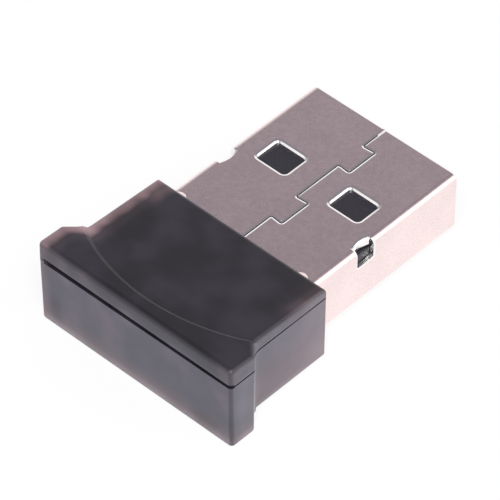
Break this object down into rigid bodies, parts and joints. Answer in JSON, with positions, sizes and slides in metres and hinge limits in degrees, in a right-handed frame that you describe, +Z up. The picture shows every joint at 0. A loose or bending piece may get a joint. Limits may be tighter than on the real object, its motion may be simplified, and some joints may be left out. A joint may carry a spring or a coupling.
{
  "type": "usb bluetooth adapter",
  "caption": "Small plug-in radio adapter: flat folded metal data plug in a T-shaped smoke-grey housing with a thin cover and a raised curved grip strip.",
  "frame": {"origin": "middle of the part's length and width, on the plane of the housing's underside", "axes": "+Y is the way the plug goes in, +Z is up out of the thin cover and the plug's seam side, +X is to the right seen from behind the housing"},
  "size_m": [0.016, 0.0226, 0.0066],
  "materials": {
    "smoke_plastic": "satin moulded plastic, smoke grey, lets a little light through",
    "nickel_plated_steel": "satin nickel plate on rolled sheet",
    "black_carrier": "satin moulded plastic",
    "board_laminate": "dark solder resist on glass laminate",
    "gilded_contact": "thin gilding over copper",
    "chip_resin": "fine matt moulding resin",
    "tinned_metal": "tinned and soldered",
    "pale_ceramic": "fired ceramic",
    "bright_lid": "nickel plated lid",
    "white_resin": "white lamp housing",
    "clear_resin": "clear cast lens",
    "dark_ferrite": "sintered ferrite",
    "brown_ceramic": "fired ceramic with tinned ends",
    "bare_copper": "printed copper"
  },
  "bodies": {
    "root": {"plug_shell": "nickel_plated_steel", "plug_carrier": "black_carrier", "circuit_board": "board_laminate", "contact_power": "gilded_contact", "contact_data_minus": "gilded_contact", "contact_data_plus": "gilded_contact", "contact_ground": "gilded_contact", "radio_chip": "chip_resin", "radio_chip_leads": "tinned_metal", "memory_chip": "chip_resin", "memory_chip_leads": "tinned_metal", "crystal_base": "pale_ceramic", "crystal_can": "bright_lid", "status_lamp_base": "white_resin", "status_lamp_lens": "clear_resin", "inductor": "dark_ferrite", "capacitors": "brown_ceramic", "resistors": "chip_resin", "printed_aerial": "bare_copper", "leg_solder": "tinned_metal", "bottom_case": "smoke_plastic", "top_cover": "smoke_plastic"}
  },
  "joints": []
}
